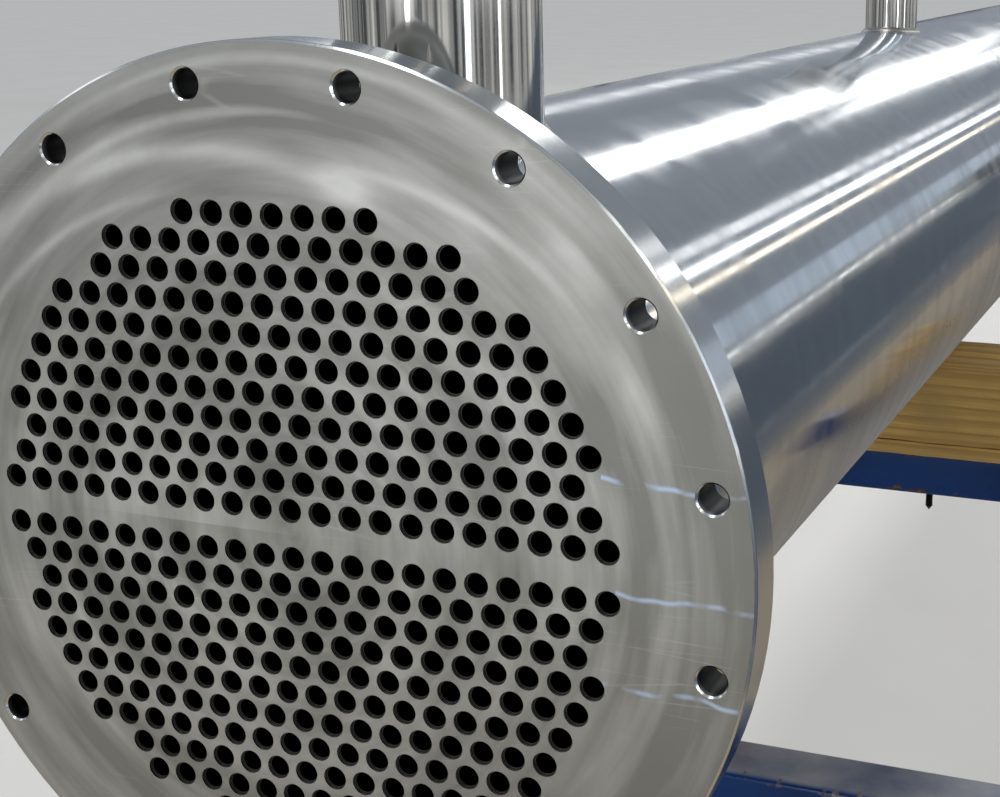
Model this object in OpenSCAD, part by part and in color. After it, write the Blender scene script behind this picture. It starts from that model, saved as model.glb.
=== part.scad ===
// Shell and tube heat exchanger on three trestles, with its tube sheets bare and its heads not fitted.
// The exchanger lies along Y with the front tube sheet at the low end, and the floor is at Z = 0.
// Its two ends are alike, and the middle nozzle and the middle trestle stand nearer to the front one.

/* [Exchanger] */
// Length from the outer face of one tube sheet to the other
length = 4877; // [4600:1:6100]
// Height of the exchanger's axis above the floor
axis_height = 1000; // [900:5:1300]
// Gap left where one curved piece seats on another
seat_gap = 0.3; // [0.2:0.05:0.5]

/* [Tube bundle] */
// Distance between neighbouring tubes, on a triangular pattern
tube_pitch = 25.4; // [25:0.1:30]
// Outer diameter of a tube
tube_od = 19.05; // [16:0.05:20]
// Wall of a tube
tube_wall = 1.24; // [0.9:0.01:2.1]
// Clearance all round between a tube and its hole in the tube sheet
tube_hole_clearance = 0.1; // [0.05:0.05:0.2]
// How far a tube's end stands behind the tube sheet's face
tube_end_recess = 3; // [1:0.5:6]
// Half of the pass lane: from the centre line to the first row of tubes
lane_half = 19; // [18:0.5:24]
// Largest distance from the axis to a tube's centre
bundle_limit = 259; // [200:1:259]

/* [Tube sheets] */
// Outer diameter of a tube sheet
sheet_d = 724; // [715:1:760]
// Thickness of a tube sheet
sheet_t = 38; // [30:1:60]
// Chamfer round the rim
sheet_chamfer = 2; // [1:0.5:4]
// Distance from the rim to the bolt circle for the heads
bolt_edge_distance = 25.5; // [22:0.5:32]
// Number of bolt holes for the heads
bolt_count = 16; // [12:4:20]
// Diameter of a bolt hole for the heads
bolt_hole_d = 22; // [18:0.5:26]
// Chamfer round a bolt hole in the outer face
bolt_hole_chamfer = 1.5; // [0.5:0.5:3]

/* [Shell] */
// Outer diameter of the shell
shell_od = 558.8; // [558:0.2:580]
// Wall of the shell
shell_t = 8; // [5:0.5:8]
// Leg of the fillet weld between the shell and a tube sheet
shell_weld_leg = 8; // [5:0.5:12]

/* [End nozzles] */
// Distance from the nearer tube sheet's outer face to an end nozzle
end_nozzle_y = 269; // [230:1:320]
// Outer diameter of an end nozzle
end_nozzle_od = 168.3; // [140:0.1:170]
// Wall of an end nozzle
end_nozzle_wall = 7.1; // [3:0.1:11]
// Height of an end nozzle's flange face above the axis
end_nozzle_reach = 500; // [450:5:600]
// Outer diameter of an end nozzle's flange
end_flange_d = 279.4; // [275:0.1:300]
// Thickness of that flange, with its raised face
end_flange_t = 25.4; // [20:0.1:30]
// Diameter of that flange's raised face
end_face_d = 215.9; // [200:0.1:218]
// Diameter of that flange's hub
end_hub_d = 192; // [185:1:200]
// Bolt circle of that flange
end_flange_circle_d = 241.3; // [238:0.1:250]
// Bolt hole of that flange
end_flange_hole_d = 22.2; // [18:0.1:22.5]

/* [Middle nozzle] */
// Distance from the front face to the middle nozzle
middle_nozzle_y = 1950; // [1930:1:1970]
// Outer diameter of the middle nozzle
middle_nozzle_od = 88.9; // [80:0.1:90]
// Wall of the middle nozzle
middle_nozzle_wall = 5.5; // [3:0.1:8]
// Height of the middle nozzle's flange face above the axis
middle_nozzle_reach = 480; // [450:5:600]
// Outer diameter of the middle flange
middle_flange_d = 190.5; // [186:0.1:200]
// Thickness of the middle flange, with its raised face
middle_flange_t = 23.9; // [18:0.1:28]
// Diameter of the middle flange's raised face
middle_face_d = 127; // [118:0.1:130]
// Diameter of the middle flange's hub
middle_hub_d = 108; // [104:1:114]
// Bolt circle of the middle flange
middle_flange_circle_d = 152.4; // [150:0.1:158]
// Bolt hole of the middle flange
middle_flange_hole_d = 19.1; // [16:0.1:20]
// Number of bolts in the middle flange
middle_flange_bolt_count = 4; // [4:4:8]

/* [Nozzle flanges] */
// Number of bolts in an end nozzle's flange
end_flange_bolt_count = 8; // [4:4:12]
// Height of a flange's raised face
raised_face_h = 1.6; // [1:0.1:3]
// Height of a flange's hub under the plate
flange_hub_h = 14; // [10:1:25]
// How far a nozzle's pipe ends behind its flange's face
neck_recess = 8; // [4:1:12]
// Leg of the weld between a nozzle and the shell
nozzle_weld_leg = 7; // [4:0.5:10]

/* [Baffles] */
// Distance from a tube sheet's outer face to the nearest baffle
baffle_start = 430; // [410:1:440]
// Thickness of a baffle
baffle_t = 8; // [5:0.5:12]
// Clearance all round between a baffle and the shell
baffle_shell_clearance = 1.6; // [1:0.1:3]
// Clearance all round between a tube and its hole in a baffle
baffle_hole_clearance = 0.4; // [0.2:0.05:0.5]
// Height above the axis at which a baffle is cut off
baffle_cut = 136; // [110:1:180]

/* [Tie rods] */
// Diameter of a tie rod
tie_rod_d = 9.5; // [8:0.5:12]
// Distance between neighbouring tie rods along the pass lane
tie_rod_pitch = 150; // [100:1:160]
// Depth of a tie rod's end in the front tube sheet
tie_rod_depth = 16; // [10:1:25]
// Width across the flats of a tie rod's nut
tie_nut_w = 17; // [13:0.5:18]
// Height of a tie rod's nut
tie_nut_h = 8; // [6:0.5:12]

/* [Trestles] */
// Distance from the nearer tube sheet's outer face to an outer trestle
outer_trestle_y = 600; // [580:1:640]
// Distance from the front face to the middle trestle
middle_trestle_y = 1848; // [1820:1:1880]
// Length of a trestle's cross beam
beam_length = 1200; // [1100:10:1400]
// Width and height of a cross beam's square section
beam_size = 80; // [70:1:100]
// Wall of the square sections
section_wall = 5; // [4:0.5:8]
// Width of a post's square section
post_size = 60; // [50:1:80]
// Distance from the middle to a post
post_x = 500; // [450:5:540]
// Length of a foot, along the exchanger
foot_length = 420; // [350:10:600]
// Height of a foot's square section
foot_size = 60; // [50:1:80]

/* [Timber] */
// Height of the timber between a cross beam and the shell
timber_h = 160; // [140:1:200]
// Length of an outer timber block
outer_timber_length = 300; // [280:5:340]
// Width of an outer timber block, along the exchanger
outer_timber_width = 80; // [70:1:160]
// Distance from the front face to the gap between the two middle timbers
middle_timber_y = 1888; // [1860:1:1895]
// Length of a middle timber
middle_timber_length = 900; // [700:10:1100]
// Width of a middle timber, along the exchanger
middle_timber_width = 112; // [90:1:115]
// Gap between the two middle timbers
middle_timber_gap = 2; // [1:0.5:6]
// Thickness of the packing board under the middle timbers
packing_board_t = 25; // [20:1:40]
// Distance from the middle to a chock's thick end
chock_outer_x = 142; // [135:1:150]
// Distance from the middle to a chock's thin end
chock_inner_x = 55; // [45:1:65]

/* [Hidden] */
shell_r = shell_od / 2;
shell_inner_r = shell_r - shell_t;
front_y = -length / 2;
rear_y = length / 2;
row_h = tube_pitch * sqrt(3) / 2;
row_count = ceil(bundle_limit / row_h);
beam_top = axis_height - shell_r - timber_h;
beam_bottom = beam_top - beam_size;
bolt_circle_d = sheet_d - 2 * bolt_edge_distance;
baffle_count = 7;
baffle_spacing = (length - 2 * baffle_start - baffle_t) / (baffle_count - 1);
past = 1;
tube_fn = 24;
hole_fn = 24;
bolt_fn = 32;
round_fn = 96;
shell_fn = 144;
paint_blue = "royalblue";
steel = "silver";
timber = "burlywood";

// Draws its child and, mirrored, the same at the other end
module both_ends() {
    children();
    mirror([0, 1, 0])
        children();
}

// Turns a drawing in X and Y into one in X and Z, thickened from y towards the rear
module upright(y, thickness) {
    translate([0, y + thickness, axis_height])
        rotate([90, 0, 0])
            linear_extrude(height = thickness)
                children();
}

// Places its child at each tube of the upper half of the bundle
module each_upper_tube() {
    for (row = [0 : row_count]) {
        z = lane_half + row * row_h;
        shift = (row % 2) / 2;
        reach = floor(bundle_limit / tube_pitch) + 1;
        for (column = [-reach : reach]) {
            x = (column + shift) * tube_pitch;
            if (norm([x, z]) <= bundle_limit)
                translate([x, z])
                    children();
        }
    }
}

module each_lower_tube() {
    mirror([0, 1])
        each_upper_tube()
            children();
}

module each_tie_rod() {
    for (i = [-1.5 : 1 : 1.5])
        translate([i * tie_rod_pitch, 0])
            children();
}

module tube_holes(clearance) {
    each_upper_tube()
        circle(d = tube_od + 2 * clearance, $fn = hole_fn);
    each_lower_tube()
        circle(d = tube_od + 2 * clearance, $fn = hole_fn);
}

// Places its child at each bolt hole, with the holes on either side of the centre lines
module each_bolt() {
    for (i = [0 : bolt_count - 1])
        rotate((i + 0.5) * 360 / bolt_count)
            translate([bolt_circle_d / 2, 0])
                children();
}

module sheet_drilling() {
    tube_holes(tube_hole_clearance);
    each_bolt()
        circle(d = bolt_hole_d, $fn = bolt_fn);
}

module tube_sheet_plate() {
    difference() {
        circle(d = sheet_d, $fn = shell_fn);
        sheet_drilling();
    }
}

// The tube sheet is drilled as a flat drawing, then chamfered round its rim and round its bolt holes
module tube_sheet(outer_y, inward) {
    difference() {
        upright(inward > 0 ? outer_y : outer_y - sheet_t, sheet_t)
            tube_sheet_plate();
        translate([0, outer_y, axis_height])
            rotate([-90 * inward, 0, 0]) {
                rim_cut();
                each_bolt()
                    bolt_hole_cut();
            }
        if (inward > 0)
            translate([0, outer_y + sheet_t - tie_rod_depth, 0])
                tie_rod_sockets();
    }
}

// The corner that the chamfer takes off, for a rim whose outer face is at Z = 0
module rim_cut() {
    rotate_extrude($fn = shell_fn)
        polygon([[sheet_d / 2 - sheet_chamfer - past, -past], [sheet_d / 2 + past, -past],
            [sheet_d / 2 + past, sheet_chamfer + past]]);
}

// The cone that breaks a bolt hole's edge, with the outer face at Z = 0
module bolt_hole_cut() {
    translate([0, 0, -past])
        cylinder(d1 = bolt_hole_d + 2 * (bolt_hole_chamfer + past), d2 = bolt_hole_d,
            h = bolt_hole_chamfer + past, $fn = bolt_fn);
}

module tie_rod_sockets() {
    upright(0, tie_rod_depth + past)
        each_tie_rod()
            circle(d = tie_rod_d + 2 * seat_gap, $fn = 24);
}

module front_tube_sheet() {
    color(steel)
        tube_sheet(front_y, 1);
}

module rear_tube_sheet() {
    color(steel)
        tube_sheet(rear_y, -1);
}

// A round bar along Y on the exchanger's axis
module axial_bar(radius, low_y, high_y) {
    translate([0, high_y, axis_height])
        rotate([90, 0, 0])
            cylinder(r = radius, h = high_y - low_y, $fn = shell_fn);
}

module nozzle_bar(y, diameter, top) {
    translate([0, front_y + y, axis_height])
        cylinder(d = diameter, h = top, $fn = round_fn);
}

module shell() {
    color(steel)
        difference() {
            axial_bar(shell_r, front_y + sheet_t, rear_y - sheet_t);
            axial_bar(shell_inner_r, front_y + sheet_t - past, rear_y - sheet_t + past);
            both_ends()
                nozzle_bar(end_nozzle_y, end_nozzle_od + 2 * seat_gap, shell_r + past);
            nozzle_bar(middle_nozzle_y, middle_nozzle_od + 2 * seat_gap, shell_r + past);
        }
}

// A fillet round the shell against a tube sheet's inner face at Z = 0
module shell_weld() {
    rotate_extrude($fn = shell_fn)
        polygon([[shell_r + seat_gap, 0], [shell_r + seat_gap + shell_weld_leg, 0],
            [shell_r + seat_gap, shell_weld_leg]]);
}

module front_shell_weld() {
    color(steel)
        translate([0, front_y + sheet_t, axis_height])
            rotate([-90, 0, 0])
                shell_weld();
}

module rear_shell_weld() {
    color(steel)
        translate([0, rear_y - sheet_t, axis_height])
            rotate([90, 0, 0])
                shell_weld();
}

module tube_ring() {
    difference() {
        circle(d = tube_od, $fn = tube_fn);
        circle(d = tube_od - 2 * tube_wall, $fn = tube_fn);
    }
}

module upper_pass_tubes() {
    color("lightsteelblue")
        upright(front_y + tube_end_recess, length - 2 * tube_end_recess)
            each_upper_tube()
                tube_ring();
}

module lower_pass_tubes() {
    color("lightsteelblue")
        upright(front_y + tube_end_recess, length - 2 * tube_end_recess)
            each_lower_tube()
                tube_ring();
}

// The first baffle is cut off below the axis, so what comes in at the top has to cross the tubes
module baffle(index) {
    side = index % 2 == 1 ? -1 : 1;
    baffle_r = shell_inner_r - baffle_shell_clearance;
    color("gainsboro")
        upright(front_y + baffle_start + (index - 1) * baffle_spacing, baffle_t)
            difference() {
                circle(r = baffle_r, $fn = shell_fn);
                translate([-baffle_r - past, side > 0 ? baffle_cut : -baffle_cut - baffle_r])
                    square([2 * baffle_r + 2 * past, baffle_r]);
                tube_holes(baffle_hole_clearance);
                each_tie_rod()
                    circle(d = tie_rod_d + 2 * seat_gap, $fn = 24);
            }
}

// Tie rods screw into the front tube sheet and end in a nut behind the last baffle
module tie_rods() {
    last_face = baffle_start + (baffle_count - 1) * baffle_spacing + baffle_t;
    rod_start = sheet_t - tie_rod_depth;
    color("gray") {
        upright(front_y + rod_start, last_face + 2 * tie_nut_h - rod_start)
            each_tie_rod()
                circle(d = tie_rod_d, $fn = 24);
        upright(front_y + last_face, tie_nut_h)
            each_tie_rod()
                circle(d = tie_nut_w / cos(30), $fn = 6);
    }
}

// A pipe that stands on the shell's axis, trimmed flush with the inside of the shell
module nozzle_neck(y, diameter, wall, reach) {
    color(steel)
        difference() {
            nozzle_bar(y, diameter, reach - neck_recess);
            nozzle_bar(y, diameter - 2 * wall, reach);
            axial_bar(shell_inner_r, front_y, rear_y);
        }
}

// A saddle-shaped bead between the neck and the outside of the shell
module nozzle_weld(y, diameter) {
    color(steel)
        difference() {
            intersection() {
                nozzle_bar(y, diameter + 2 * seat_gap + 2 * nozzle_weld_leg, shell_r + 2 * nozzle_weld_leg);
                axial_bar(shell_r + nozzle_weld_leg, front_y, rear_y);
            }
            nozzle_bar(y, diameter + 2 * seat_gap, shell_r + 3 * nozzle_weld_leg);
            axial_bar(shell_r + seat_gap, front_y, rear_y);
        }
}

// A slip-on flange with a raised face, its top at the given reach above the axis
module nozzle_flange(y, neck_d, reach, outer_d, thickness, face_d, hub_d, circle_d, hole_d, bolts) {
    bore_r = neck_d / 2 + seat_gap;
    plate_top = -raised_face_h;
    color(steel)
        translate([0, front_y + y, axis_height + reach])
            difference() {
                rotate_extrude($fn = round_fn)
                    polygon([[bore_r, 0], [face_d / 2, 0], [face_d / 2, plate_top], [outer_d / 2, plate_top],
                        [outer_d / 2, -thickness], [hub_d / 2, -thickness],
                        [hub_d / 2, -thickness - flange_hub_h], [bore_r, -thickness - flange_hub_h]]);
                for (i = [0 : bolts - 1])
                    rotate((i + 0.5) * 360 / bolts)
                        translate([circle_d / 2, 0, -thickness - past])
                            cylinder(d = hole_d, h = thickness + 2 * past, $fn = bolt_fn);
            }
}

module end_nozzle_flange(y) {
    nozzle_flange(y, end_nozzle_od, end_nozzle_reach, end_flange_d, end_flange_t,
        end_face_d, end_hub_d, end_flange_circle_d, end_flange_hole_d, end_flange_bolt_count);
}

module front_nozzle_neck() {
    nozzle_neck(end_nozzle_y, end_nozzle_od, end_nozzle_wall, end_nozzle_reach);
}

module front_nozzle_weld() {
    nozzle_weld(end_nozzle_y, end_nozzle_od);
}

module front_nozzle_flange() {
    end_nozzle_flange(end_nozzle_y);
}

module middle_nozzle_neck() {
    nozzle_neck(middle_nozzle_y, middle_nozzle_od, middle_nozzle_wall, middle_nozzle_reach);
}

module middle_nozzle_weld() {
    nozzle_weld(middle_nozzle_y, middle_nozzle_od);
}

module middle_nozzle_flange() {
    nozzle_flange(middle_nozzle_y, middle_nozzle_od, middle_nozzle_reach, middle_flange_d, middle_flange_t,
        middle_face_d, middle_hub_d, middle_flange_circle_d, middle_flange_hole_d, middle_flange_bolt_count);
}

module rear_nozzle_neck() {
    nozzle_neck(length - end_nozzle_y, end_nozzle_od, end_nozzle_wall, end_nozzle_reach);
}

module rear_nozzle_weld() {
    nozzle_weld(length - end_nozzle_y, end_nozzle_od);
}

module rear_nozzle_flange() {
    end_nozzle_flange(length - end_nozzle_y);
}

// A block centred on X and Y that stands on the given height
module block(y, size, low_z) {
    translate([-size[0] / 2, front_y + y - size[1] / 2, low_z])
        cube(size);
}

// A pair of wedges that keep the shell from rolling, each hollowed to the shell's own curve
module chocks(y, width) {
    timber_top = beam_top + timber_h;
    color(timber)
        for (side = [0, 1])
            mirror([side, 0, 0])
                difference() {
                    translate([chock_inner_x, front_y + y - width / 2, timber_top])
                        cube([chock_outer_x - chock_inner_x, width, chock_top()]);
                    axial_bar(shell_r + seat_gap, front_y, rear_y);
                }
}

// Height at which the shell's underside meets a chock's thick end
function chock_top() = shell_r - sqrt(pow(shell_r, 2) - pow(chock_outer_x, 2));

module outer_timber_blocks() {
    color(timber)
        both_ends()
            block(outer_trestle_y, [outer_timber_length, outer_timber_width, timber_h], beam_top);
}

module outer_chocks() {
    both_ends()
        chocks(outer_trestle_y, outer_timber_width);
}

module middle_packing_board() {
    color(timber)
        block(middle_timber_y, [middle_timber_length, 2 * middle_timber_width + middle_timber_gap, packing_board_t],
            beam_top);
}

module middle_timbers() {
    color(timber)
        for (side = [-1, 1])
            block(middle_timber_y + side * (middle_timber_width + middle_timber_gap) / 2,
                [middle_timber_length, middle_timber_width, timber_h - packing_board_t],
                beam_top + packing_board_t);
}

module middle_chocks() {
    chocks(middle_timber_y - (middle_timber_width + middle_timber_gap) / 2, middle_timber_width);
}

// A square hollow section, drawn on X and Y
module square_section(size) {
    difference() {
        square(size, center = true);
        square(size - 2 * section_wall, center = true);
    }
}

module cross_beam(y) {
    color(paint_blue)
        translate([-beam_length / 2, front_y + y, beam_top - beam_size / 2])
            rotate([0, 90, 0])
                linear_extrude(height = beam_length)
                    square_section(beam_size);
}

module posts(y) {
    color(paint_blue)
        for (side = [-1, 1])
            translate([side * post_x, front_y + y, foot_size])
                linear_extrude(height = beam_bottom - foot_size)
                    square_section(post_size);
}

module feet(y) {
    color(paint_blue)
        for (side = [-1, 1])
            translate([side * post_x, front_y + y + foot_length / 2, foot_size / 2])
                rotate([90, 0, 0])
                    linear_extrude(height = foot_length)
                        square_section(foot_size);
}

module outer_cross_beams() {
    both_ends()
        cross_beam(outer_trestle_y);
}

module outer_posts() {
    both_ends()
        posts(outer_trestle_y);
}

module outer_feet() {
    both_ends()
        feet(outer_trestle_y);
}

module middle_cross_beam() {
    cross_beam(middle_trestle_y);
}

module middle_posts() {
    posts(middle_trestle_y);
}

module middle_feet() {
    feet(middle_trestle_y);
}

front_tube_sheet();
rear_tube_sheet();
shell();
front_shell_weld();
rear_shell_weld();
upper_pass_tubes();
lower_pass_tubes();
baffle(1);  // baffle_1
baffle(2);  // baffle_2
baffle(3);  // baffle_3
baffle(4);  // baffle_4
baffle(5);  // baffle_5
baffle(6);  // baffle_6
baffle(7);  // baffle_7
tie_rods();
front_nozzle_neck();
front_nozzle_weld();
front_nozzle_flange();
middle_nozzle_neck();
middle_nozzle_weld();
middle_nozzle_flange();
rear_nozzle_neck();
rear_nozzle_weld();
rear_nozzle_flange();
outer_timber_blocks();
outer_chocks();
middle_packing_board();
middle_timbers();
middle_chocks();
outer_cross_beams();
outer_posts();
outer_feet();
middle_cross_beam();
middle_posts();
middle_feet();
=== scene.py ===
# %% [markdown]
# # A shell and tube heat exchanger on three trestles
#
# The real object is a drum full of thin tubes. Both ends are closed by thick round plates, the tube
# sheets, and here their covers are off, so the drilled plate and the tube ends show. The drum lies on
# timber, and the timber lies on blue steel trestles.
#
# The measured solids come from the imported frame. This file adds what the eye needs: metals that
# mirror a row of long lamps, timber with a grain, weld beads with ripples, and worn paint.

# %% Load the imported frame
import math

import bmesh
import bpy
from mathutils import Matrix, Vector, noise


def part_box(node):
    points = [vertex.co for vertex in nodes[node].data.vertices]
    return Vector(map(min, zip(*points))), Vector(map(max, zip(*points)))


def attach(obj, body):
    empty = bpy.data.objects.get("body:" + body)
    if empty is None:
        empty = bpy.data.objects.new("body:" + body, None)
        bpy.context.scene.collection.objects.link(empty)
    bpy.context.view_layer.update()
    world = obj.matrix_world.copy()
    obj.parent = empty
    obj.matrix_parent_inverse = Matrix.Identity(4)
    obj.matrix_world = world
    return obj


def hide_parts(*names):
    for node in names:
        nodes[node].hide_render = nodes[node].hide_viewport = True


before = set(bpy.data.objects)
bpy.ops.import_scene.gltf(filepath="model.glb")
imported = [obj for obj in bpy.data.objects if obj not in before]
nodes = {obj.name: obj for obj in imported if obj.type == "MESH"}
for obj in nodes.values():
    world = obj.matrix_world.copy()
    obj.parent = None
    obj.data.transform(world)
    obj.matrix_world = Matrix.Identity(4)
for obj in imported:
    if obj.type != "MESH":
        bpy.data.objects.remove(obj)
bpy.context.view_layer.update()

# %% [markdown]
# ## Places
#
# Everything is in metres. The exchanger lies along Y with its front face at the low end, and its axis
# is one metre above the floor. The places below are read from the frame's own boxes where they can
# be, so that a piece can't drift away from the solid that carries it.

# %% Places that several pieces share
AXIS_HEIGHT = 1.0
SHELL_RADIUS = 0.2794
SHEET_THICKNESS = 0.038
SHEET_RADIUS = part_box("front_tube_sheet")[1].x
FRONT_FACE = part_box("front_tube_sheet")[0].y
REAR_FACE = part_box("rear_tube_sheet")[1].y
OUTER_TRESTLE_Y = FRONT_FACE + 0.600
MIDDLE_TRESTLE_Y = FRONT_FACE + 1.848
NOZZLES = {  # place along Y and outer radius of each pipe
    "front": (FRONT_FACE + 0.269, 0.08415),
    "middle": (FRONT_FACE + 1.950, 0.04445),
    "rear": (REAR_FACE - 0.269, 0.08415),
}
QUARTER, WHOLE_TURN = math.pi / 2, 2 * math.pi
print("faces at", round(FRONT_FACE, 3), round(REAR_FACE, 3), "and", len(NOZZLES), "nozzles")

# %% [markdown]
# ## Camera
#
# The photograph was taken close to the front plate, from the right and a little above it. The place,
# turn and focal length were worked out from the tube pattern, which is a ready-made grid. The
# picture is a part of a wider one, so the lens is shifted a little to the side.

# %% Camera
camera_data = bpy.data.cameras.new("camera")
camera_data.lens = 59.92
camera_data.sensor_width = 36
camera_data.shift_x = -0.12
camera = bpy.data.objects.new("camera", camera_data)
camera.location = (0.66388, FRONT_FACE - 0.99577, 1.41879)
camera.rotation_euler = [math.radians(a) for a in (74.9129, 0.51, 21.7089)]
bpy.context.scene.collection.objects.link(camera)
bpy.context.scene.camera = camera
bpy.context.scene.view_settings.view_transform = "Standard"
print("camera at", tuple(round(v, 3) for v in camera.location))


# %% [markdown]
# ## Helpers for node trees
#
# A material is a small network. A few helpers keep it readable: one adds any node with its inputs
# given by name, and the others do one sum each. An input may be a plain value or another node's
# output.

# %% Helpers that add nodes and work out numbers
def set_inputs(tree, node, inputs):
    """Fills a node's sockets, by name or number, with plain values or other nodes' outputs."""
    for key, value in inputs.items():
        if isinstance(value, bpy.types.NodeSocket):
            tree.links.new(value, node.inputs[key])
        else:
            node.inputs[key].default_value = value


def add(tree, kind, inputs, **settings):
    """Adds one shader node."""
    made = tree.nodes.new("ShaderNode" + kind)
    for name, value in settings.items():
        setattr(made, name, value)
    set_inputs(tree, made, inputs)
    return made


def sum_of(tree, operation, a, b=0.0, c=0.0, clamp=False):
    """One number worked out from others, such as a - b or the size of a."""
    return add(tree, "Math", {0: a, 1: b, 2: c}, operation=operation, use_clamp=clamp).outputs[0]


def times(tree, a, b):
    """a * b"""
    return sum_of(tree, "MULTIPLY", a, b)


def times_plus(tree, a, b, c):
    """a * b + c"""
    return sum_of(tree, "MULTIPLY_ADD", a, b, c)


def between(tree, value, low, high):
    """1 where a value lies between low and high, and 0 elsewhere."""
    return times(tree, sum_of(tree, "GREATER_THAN", value, low), sum_of(tree, "LESS_THAN", value, high))


def spread(tree, value, low, high, to_low=0.0, to_high=1.0):
    """Stretches the range low to high onto another range, and cuts off what lies outside."""
    made = add(tree, "MapRange", {"Value": value, "From Min": low, "From Max": high,
                                  "To Min": to_low, "To Max": to_high})
    return made.outputs["Result"]


def blend_numbers(tree, share, first, second):
    """The first number where share is 0, and the second where it is 1."""
    return times_plus(tree, share, sum_of(tree, "SUBTRACT", second, first), first)


# %% Helpers for colours, vectors and textures
def blend_colours(tree, share, first, second):
    """The first colour where share is 0, and the second where it is 1."""
    return add(tree, "Mix", {0: share, 6: first, 7: second}, data_type="RGBA").outputs[2]


def vector_sum(tree, operation, *vectors):
    """One vector worked out from others."""
    return add(tree, "VectorMath", dict(enumerate(vectors)), operation=operation).outputs[0]


def length_of(tree, vector):
    return add(tree, "VectorMath", {0: vector}, operation="LENGTH").outputs["Value"]


def parts_of(tree, vector):
    """A vector's three numbers, by the names X, Y and Z."""
    return add(tree, "SeparateXYZ", {0: vector}).outputs


def vector_from(tree, x=0.0, y=0.0, z=0.0):
    """A vector put together from three numbers."""
    return add(tree, "CombineXYZ", {0: x, 1: y, 2: z}).outputs[0]


def noise_value(tree, vector, scale, detail=3.0, rough=0.55, distortion=0.0):
    """A smooth random number from 0 to 1, with about scale bumps in a metre."""
    made = add(tree, "TexNoise", {"Vector": vector, "Scale": scale, "Detail": detail,
                                  "Roughness": rough, "Distortion": distortion})
    return made.outputs["Fac"]


def mapped(tree, vector, shift=(0, 0, 0), turn=(0, 0, 0), scale=(1, 1, 1)):
    """A place that is scaled, then turned and then shifted."""
    made = add(tree, "Mapping", {"Vector": vector, "Location": shift, "Rotation": turn, "Scale": scale})
    return made.outputs["Vector"]


def object_place(tree, shift=(0, 0, 0), turn=(0, 0, 0)):
    """The place on the object, turned and then shifted."""
    return mapped(tree, add(tree, "TexCoord", {}).outputs["Object"], shift, turn)


def bump_of(tree, height, strength, distance):
    """A relief, as the normal that the shader reads."""
    made = add(tree, "Bump", {"Height": height, "Strength": strength, "Distance": distance})
    return made.outputs["Normal"]


# %% Helpers that make a material
def new_skin(name, **sockets):
    """A material with a Principled shader, whose constant sockets are given by name."""
    material = bpy.data.materials.new(name)
    material.use_nodes = True
    tree = material.node_tree
    tree.nodes.clear()
    skin = add(tree, "BsdfPrincipled", {key.replace("_", " "): value for key, value in sockets.items()})
    add(tree, "OutputMaterial", {"Surface": skin.outputs["BSDF"]})
    return material, tree, skin


def feed(tree, skin, **sources):
    """Links outputs to the shader's sockets, given by name."""
    set_inputs(tree, skin, {key.replace("_", " "): value for key, value in sources.items()})


# %% [markdown]
# ## Floor, world and lamps
#
# Polished metal shows its surroundings more than itself. The workshop has long rows of ceiling
# lamps, and they make the white streaks along the shell. A streak lies where a lamp's direction
# mirrors into the eye, so the angle of each lamp round the shell's axis was worked back from its
# streak. The lamps here are long, soft and parallel to the shell.
#
# Upright soft lamps at the side and behind the camera make the upright streaks on the nozzle. A few
# cards, seen only in reflections, stand in for the workshop as in a photographer's studio: two dark
# ones give the shell's flank its dark band, a brown one gives the warm floor under it, and a ring of
# striped walls gives the nozzles something to mirror.

# %% World: a grey workshop for the metal, a pale backdrop for the eye
SKY_STEPS = (  # from straight down, 0, over the horizon, 0.5, to straight up, 1
    (0.0, (0.34, 0.34, 0.33, 1)), (0.49, (0.34, 0.35, 0.35, 1)), (0.53, (0.26, 0.29, 0.34, 1)),
    (0.6, (0.24, 0.27, 0.31, 1)), (1.0, (0.27, 0.29, 0.31, 1)))
BACKDROP = (0.457, 0.468, 0.473, 1)
world = bpy.data.worlds.new("workshop_light")
bpy.context.scene.world = world
world.use_nodes = True
sky = world.node_tree
sky.nodes.clear()
upwards = parts_of(sky, add(sky, "TexCoord", {}).outputs["Generated"])["Z"]
ramp = add(sky, "ValToRGB", {0: spread(sky, upwards, -1, 1)})
stops = ramp.color_ramp.elements
for number, (position, colour) in enumerate(SKY_STEPS):
    stop = stops[number] if number < 2 else stops.new(position)
    stop.position, stop.color = position, colour
eye = add(sky, "LightPath", {}).outputs["Is Camera Ray"]
seen = blend_colours(sky, eye, ramp.outputs["Color"], BACKDROP)
background = add(sky, "Background", {"Color": seen, "Strength": 1.0})
add(sky, "OutputWorld", {"Surface": background.outputs[0]})
print("world:", len(stops), "steps from the floor to overhead")

# %% Floor, a little paler to the eye than its own light makes it
FLOOR_HALF = 40.0
FLOOR_GLOW = 0.28


def seen_directly(tree):
    """1 for what the camera sees, by itself or in a mirror, and 0 for light that falls on the object."""
    ray = add(tree, "LightPath", {}).outputs
    mirrored_ray = sum_of(tree, "ADD", ray["Is Glossy Ray"], ray["Is Transmission Ray"], clamp=True)
    return sum_of(tree, "ADD", ray["Is Camera Ray"], mirrored_ray, clamp=True)


def object_of(shape, name, material):
    """Turns a bmesh into an object with a material."""
    data = bpy.data.meshes.new(name)
    shape.to_mesh(data)
    shape.free()
    data.materials.append(material)
    made = bpy.data.objects.new(name, data)
    bpy.context.scene.collection.objects.link(made)
    return made


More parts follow.
